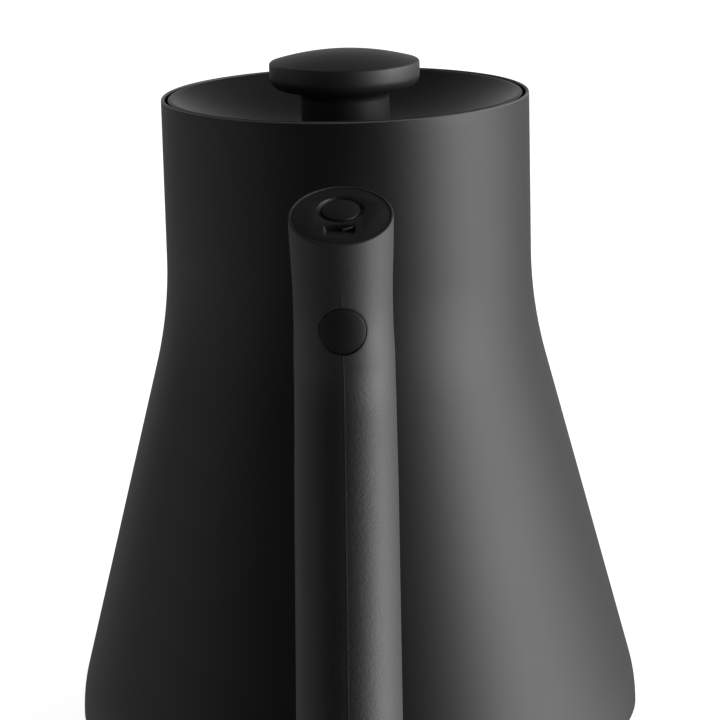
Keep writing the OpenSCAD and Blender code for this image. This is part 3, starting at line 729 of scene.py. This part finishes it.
def build_thumb_cap():
    """Oval plate with a round groove and a small slot, set in the grip's thumb face."""
    n, r = 160, 11.56

    def oval(rr, z):
        return [(rr * math.cos(2 * pi * k / n), 0.08 + rr * math.sin(2 * pi * k / n) / cosd(THUMB_A), z) for k in range(n)]
    verts = oval(r, -2.2) + oval(r, -0.17)
    faces = [tuple(range(n))[::-1], tuple(range(n, 2 * n))] + [(k, (k + 1) % n, n + (k + 1) % n, n + k) for k in range(n)]
    o = finish_mesh("thumb_cap", verts, faces, ["cap"], None)
    # round groove with sloping sides and a rounded floor
    groove = rounded([(4.4, 1.0), (4.4, -0.25, 0.1), (4.66, -0.98, 0.2), (5.2, -0.98, 0.3), (5.6, -0.22, 0.12), (5.6, 1.0)], n=4)
    gv, gf = lathe(groove, 128, closed=True)
    gv = [(x, y + 2.8, z) for x, y, z in gv]
    # wedge-shaped recess, deepest at its upper edge
    x0, x1, y0, y1 = -3.6, 3.4, -8.2, -4.0
    sv = [(x0 + 0.05, y0, -0.32), (x1, y0, -0.32), (x1, y1, -1.5), (x0 + 0.35, y1, -1.5)]
    sv += [(x0 - 0.5, y0, 0.2), (x1, y0, 0.2), (x1, y1, 0.2), (x0 - 0.5, y1, 0.2)]
    sf = [(3, 2, 1, 0), (4, 5, 6, 7), (0, 1, 5, 4), (1, 2, 6, 5), (2, 3, 7, 6), (3, 0, 4, 7)]
    cut(o, [(gv, gf), (sv, sf)])
    bevel(o, 0.09, 2, 40)
    # a small rib slanting across the recess, its near side sloping down
    tv = []
    for x, y in ((0.3, -5.55), (3.2, -4.2)):
        tv += [(x, y + 0.3, -1.6), (x, y + 0.3, -0.3), (x, y, -0.3), (x + 0.1, y - 0.24, -0.6), (x + 0.1, y - 0.24, -1.6)]
    tf = [(0, 1, 2, 3, 4), (9, 8, 7, 6, 5)] + [(k, 5 + k, 5 + (k + 1) % 5, (k + 1) % 5) for k in range(5)]
    t = finish_mesh("tongue", tv, tf, ["cap"], None)
    bevel(t, 0.1, 3, 25)
    bm = bmesh.new()
    bm.from_mesh(o.data)
    bm.from_mesh(t.data)
    bm.to_mesh(o.data)
    bm.free()
    me = t.data
    bpy.data.objects.remove(t)
    bpy.data.meshes.remove(me)
    shade(o, 35)
    o.data.transform(Matrix.Scale(MM, 4) @ thumb_matrix() @ Matrix.Scale(1 / MM, 4))
    settle(o, "kettle", ["grip_top_cap"])


def bevel(o, width, segs, angle):
    md = o.modifiers.new("bevel", "BEVEL")
    md.width, md.segments, md.limit_method, md.angle_limit = width * MM, segs, "ANGLE", math.radians(angle)
    md.use_clamp_overlap = True
    dg = bpy.context.evaluated_depsgraph_get()
    new = bpy.data.meshes.new_from_object(o.evaluated_get(dg))
    o.modifiers.clear()
    old = o.data
    o.data = new
    bpy.data.meshes.remove(old)
    shade(o, 35)


def build_plug():
    """Soft plug over the handle screw, its face curved like the grip."""
    n, verts, rows, faces = 96, [], [], []
    yc = 3.6 - GY

    def row(r, y=None, d=0.0):
        out = []
        for k in range(n):
            a = 2 * pi * k / n
            x, z = r * math.cos(a), r * math.sin(a)
            yy = y if y is not None else yc - math.sqrt(225 - x * x) + d
            out.append(len(verts))
            verts.append((x, yy, SCREW_Z + z))
        rows.append(out)

    for r in (0.6, 1.6, 2.6, 3.6, 4.5, 5.34):
        row(r)
    for j in range(1, 5):
        a = pi / 2 * j / 4
        row(5.34 + 0.12 * math.sin(a), d=0.12 * (1 - math.cos(a)))
    row(5.46, y=-GY - 9.66)
    row(5.1, y=-GY - 9.66)
    row(5.1, y=-GY - 8.15)
    row(3.6, y=-GY - 8.15)
    row(3.6, y=-GY - 9.2)
    faces = [tuple(rows[0])] + [(a[k], b[k], b[(k + 1) % n], a[(k + 1) % n]) for a, b in zip(rows, rows[1:]) for k in range(n)] + [tuple(rows[-1][::-1])]
    finish_mesh("screw_cover", verts, faces, ["plug"], "kettle", ["screw_plug"], angle=35)


def build_arm():
    """Arm from the grip to the neck, flaring into a saddle."""
    n = 96
    prof = rounded([(0, 8.2), (8, 8.3), (14, 8.55, 30), (20, 9.6, 18), (26.2, 12.2, 6), (31, 12.6)], n=7)
    ys = [p[0] for p in prof]
    rs = [p[1] for p in prof]
    rad = lambda s: float(np.interp(s, ys, rs))
    verts, rows = [], []

    def end_s(a, rr=None, gap=1.05):
        s = 24.0
        for _ in range(12):
            r = rad(s) if rr is None else rr
            x, z = r * math.cos(a), SCREW_Z + r * math.sin(a)
            s = 70 - math.sqrt((wall_r(z) + gap) ** 2 - x * x)
        return s, r

    ang = [2 * pi * k / n for k in range(n)]

    def row(fn):
        out = []
        for a in ang:
            s, r = fn(a)
            out.append(len(verts))
            verts.append((r * math.cos(a), -70 + s, SCREW_Z + r * math.sin(a)))
        rows.append(out)

    ends = [end_s(a) for a in ang]
    em = dict(zip(ang, ends))
    row(lambda a: (0.0, 2.8))
    row(lambda a: (0.0, 8.0))
    row(lambda a: (0.2, 8.2))
    m = 26
    for j in range(1, m + 1):
        row(lambda a, j=j: (0.2 + (em[a][0] - 0.35 - 0.2) * j / m, rad(0.2 + (em[a][0] - 0.35 - 0.2) * j / m)))
    row(lambda a: (em[a][0] - 0.12, em[a][1] - 0.1))
    row(lambda a: (em[a][0], em[a][1] - 0.35))
    row(lambda a: (end_s(a, 6.3)[0], 6.3))
    row(lambda a: (11.9, 6.3))
    row(lambda a: (11.9, 2.8))
    k = len(rows)
    faces = [(rows[i][q], rows[(i + 1) % k][q], rows[(i + 1) % k][(q + 1) % n], rows[i][(q + 1) % n]) for i in range(k) for q in range(n)]
    finish_mesh("handle_bracket", verts, faces, ["arm"], "kettle", ["handle_arm"], angle=38)


# ------------------------------------------------------------------ spout
H1, H2, RA, RB, SA, SB, SC = 97.0, -14.0, 24.0, 43.0, 11.0, 38.0, 9.0
R_BEND, R_MOUTH, S_WALL = 5.2, 4.8, 0.7


def spout_path():
    """Stations (y, z, heading) along the centreline, with their distance."""
    out = []
    pa = (ROOT_Y + SA * cosd(H0), ROOT_Z + SA * sind(H0))
    ca = (pa[0] - RA * sind(H0), pa[1] + RA * cosd(H0))
    pb = (ca[0] + RA * sind(H1), ca[1] - RA * cosd(H1))
    pc = (pb[0] + SB * cosd(H1), pb[1] + SB * sind(H1))
    cb = (pc[0] + RB * sind(H1), pc[1] - RB * cosd(H1))
    pd = (cb[0] - RB * sind(H2), cb[1] + RB * cosd(H2))
    s = 0.0
    for i in range(9):
        out.append((ROOT_Y + SA * cosd(H0) * i / 8, ROOT_Z + SA * sind(H0) * i / 8, H0, SA * i / 8))
    s = SA
    la = math.radians(H1 - H0) * RA
    for i in range(1, 29):
        h = H0 + (H1 - H0) * i / 28
        out.append((ca[0] + RA * sind(h), ca[1] - RA * cosd(h), h, s + la * i / 28))
    s += la
    for i in range(1, 27):
        out.append((pb[0] + SB * cosd(H1) * i / 26, pb[1] + SB * sind(H1) * i / 26, H1, s + SB * i / 26))
    s += SB
    lb = math.radians(H1 - H2) * RB
    for i in range(1, 61):
        h = H1 + (H2 - H1) * i / 60
        out.append((cb[0] - RB * sind(h), cb[1] + RB * cosd(h), h, s + lb * i / 60))
    s += lb
    for i in range(1, 9):
        out.append((pd[0] + SC * cosd(H2) * i / 8, pd[1] + SC * sind(H2) * i / 8, H2, s + SC * i / 8))
    return out, SA + la, SA + la + SB, s, s + SC


def build_spout():
    path, s1, s2, s3, s4 = spout_path()

    def rad(s):
        if s < s1 - 8:
            return ROOT_R
        if s < s2 + 8:
            return ROOT_R + (R_BEND - ROOT_R) * (lambda t: t * t * t * (t * (6 * t - 15) + 10) * 0.35 + 0.65 * smooth(t) if 0 < t < 1 else (0 if t <= 0 else 1))((s - s1 + 8) / (s2 - s1 + 16))
        if s < s3:
            return R_BEND
        return R_BEND + (R_MOUTH - R_BEND) * smooth((s - s3) / (s4 - s3))

    n, verts, rows = 72, [], []

    def row(y, z, h, r):
        out = []
        for k in range(n):
            a = 2 * pi * k / n
            out.append(len(verts))
            verts.append((r * math.cos(a), y - r * math.sin(a) * sind(h), z + r * math.sin(a) * cosd(h)))
        rows.append(out)

    for y, z, h, s in path[:-1]:
        row(y, z, h, rad(s))
    y, z, h, s = path[-1]
    ro, ri = rad(s), rad(s) - S_WALL
    back = lambda d: (y - d * cosd(h), z - d * sind(h), h)
    for j in range(5):  # rolled lip
        a = pi * j / 4
        row(*back(0.3 - 0.3 * math.sin(a) + (0.05 if j in (0, 4) else 0)), (ro + ri) / 2 + (ro - ri) / 2 * math.cos(a))
    for y, z, h, s in path[-2::-1]:
        row(y, z, h, rad(s) - S_WALL)
    k = len(rows)
    faces = [(rows[i][q], rows[(i + 1) % k][q], rows[(i + 1) % k][(q + 1) % n], rows[i][(q + 1) % n]) for i in range(k) for q in range(n)]
    inner_from = (len(path) - 1 + 4) * n
    finish_mesh("spout", verts, faces, ["coat", "steel"], "kettle", ["spout_tube"], angle=38,
                mat_of=lambda i: 1 if i >= inner_from else 0)

    # weld collar: a fillet from the tube down on to the cone, closed underneath
    n, verts, rows = 120, [], []
    ax = Vector((0, cosd(H0), sind(H0)))
    up = Vector((0, -sind(H0), cosd(H0)))
    org = Vector((0, ROOT_Y, ROOT_Z))

    def hit(r, a, gap):
        """Distance along the tube's axis at which the line at radius r meets the wall."""
        base = org + Vector((1, 0, 0)) * (r * math.cos(a)) + up * (r * math.sin(a))
        s = 4.0
        for _ in range(30):
            p = base + ax * s
            s -= (math.hypot(p.x, p.y) - (wall_r(p.z) + gap)) * 0.9
        return s

    prof = []
    for j in range(15):  # 0 at the tube, 1 out on the wall
        t = j / 14
        prof.append(t)
    rows_pts = []
    for t in prof:
        ring_pts = []
        for k in range(n):
            a = 2 * pi * k / n
            r = ROOT_R + 0.12 + 4.6 * (1 - math.cos(t * pi / 2))
            lift = 5.4 * (1 - math.sin(t * pi / 2))
            s = hit(r, a, 0.06) + lift
            p = org + Vector((1, 0, 0)) * (r * math.cos(a)) + up * (r * math.sin(a)) + ax * s
            ring_pts.append(p)
        rows_pts.append(ring_pts)
    inner_top = []
    for k in range(n):
        a = 2 * pi * k / n
        p0 = rows_pts[0][k]
        r = ROOT_R + 0.04
        s = (p0 - org).dot(ax) + 0.1
        inner_top.append(org + Vector((1, 0, 0)) * (r * math.cos(a)) + up * (r * math.sin(a)) + ax * s)
    inner_low = []
    for k in range(n):
        a = 2 * pi * k / n
        r = ROOT_R + 0.04
        inner_low.append(org + Vector((1, 0, 0)) * (r * math.cos(a)) + up * (r * math.sin(a)) + ax * hit(r, a, 0.05))
    allr = [inner_low, inner_top] + rows_pts
    for ringp in allr:
        rows.append(list(range(len(verts), len(verts) + n)))
        verts += [tuple(p) for p in ringp]
    k = len(rows)
    faces = [(rows[i][q], rows[(i + 1) % k][q], rows[(i + 1) % k][(q + 1) % n], rows[i][(q + 1) % n]) for i in range(k) for q in range(n)]
    finish_mesh("spout_weld", verts, faces, ["coat"], "kettle", ["spout_collar"], angle=45)


# ------------------------------------------------------------------ studio
# Soft lights far away: (azimuth from the camera's side towards +X, elevation, sharpness, strength).
LIGHTS = [
    (60, 5, 22, 2.17), (70, 5, 22, 5.4), (80, 5, 22, 1.98), (90, 5, 22, 0.64), (100, 5, 22, 0.66), (115, 5, 22, 0.5),
    (80, 28, 22, 0.23), (100, 28, 22, 3.22), (120, 28, 22, 1.46), (120, 48, 22, 0.34),
    (150, -10, 30, 0.11), (180, -10, 30, 0.35), (150, 6, 30, 0.6), (180, 6, 30, 0.78), (-150, 6, 30, 0.52),
    (150, 25, 22, 0.22), (-150, 25, 22, 0.36), (-110, 40, 12, 0.06), (180, 68, 12, 0.073),
    (-90, 8, 9, 0.34), (-60, 8, 9, 0.137), (90, -25, 12, 3.93), (120, -25, 12, 0.93),
    (-120, -35, 9, 0.58), (-60, -35, 9, 0.37),
]


def studio():
    me = bpy.data.meshes.new("floor")
    s = 8.0
    me.from_pydata([(-s, -s, 0), (s, -s, 0), (s, s, 0), (-s, s, 0)], [], [(0, 1, 2, 3)])
    m = bpy.data.materials.new("floor")
    m.use_nodes = True
    p = m.node_tree.nodes["Principled BSDF"]
    p.inputs["Base Color"].default_value = (0.85, 0.85, 0.85, 1)
    p.inputs["Roughness"].default_value = 1.0
    p.inputs["Specular IOR Level"].default_value = 0.0
    p.inputs["Emission Color"].default_value = (1, 1, 1, 1)
    p.inputs["Emission Strength"].default_value = 0.93
    me.materials.append(m)
    floor = bpy.data.objects.new("floor", me)
    bpy.context.scene.collection.objects.link(floor)
    floor.location = (0, 0, -0.0002)
    floor.visible_diffuse = False
    floor.visible_glossy = False
    floor.visible_shadow = False

    w = bpy.data.worlds.new("studio")
    bpy.context.scene.world = w
    w.use_nodes = True
    t = w.node_tree
    t.nodes.clear()

    def op(kind, a, b=None):
        n = t.nodes.new("ShaderNodeMath")
        n.operation = kind
        for i, v in enumerate((a, b)):
            if isinstance(v, (int, float)):
                n.inputs[i].default_value = v
            elif v is not None:
                t.links.new(v, n.inputs[i])
        return n.outputs[0]

    coord = t.nodes.new("ShaderNodeTexCoord")
    total = None
    for az, el, k, power in LIGHTS:
        dot = t.nodes.new("ShaderNodeVectorMath")
        dot.operation = "DOT_PRODUCT"
        t.links.new(coord.outputs["Generated"], dot.inputs[0])
        dot.inputs[1].default_value = (sind(az) * cosd(el), -cosd(az) * cosd(el), sind(el))
        lobe = op("MULTIPLY", op("EXPONENT", op("MULTIPLY", op("SUBTRACT", dot.outputs["Value"], 1.0), float(k))), power)
        total = lobe if total is None else op("ADD", total, lobe)
    soft, white = t.nodes.new("ShaderNodeBackground"), t.nodes.new("ShaderNodeBackground")
    white.inputs[0].default_value = (1, 1, 1, 1)
    white.inputs[1].default_value = 1.0
    t.links.new(total, soft.inputs[1])
    mix, path, out = t.nodes.new("ShaderNodeMixShader"), t.nodes.new("ShaderNodeLightPath"), t.nodes.new("ShaderNodeOutputWorld")
    t.links.new(path.outputs["Is Camera Ray"], mix.inputs[0])
    t.links.new(soft.outputs[0], mix.inputs[1])
    t.links.new(white.outputs[0], mix.inputs[2])
    t.links.new(mix.outputs[0], out.inputs[0])
    bpy.context.scene.view_settings.view_transform = "Standard"
    bpy.context.scene.view_settings.look = "None"


# ------------------------------------------------------------------ build
add_camera()
studio()
subs = {s["node"]: s["material_slot"] for s in frame["record"]["subparts"]}
for name, obj in NODES.items():
    mat = M[SLOT_MAT[subs[name]]]
    for s in obj.material_slots:
        s.material = mat
build_vessel()
build_lid()
build_grip()
build_thumb_cap()
build_plug()
build_arm()
build_spout()
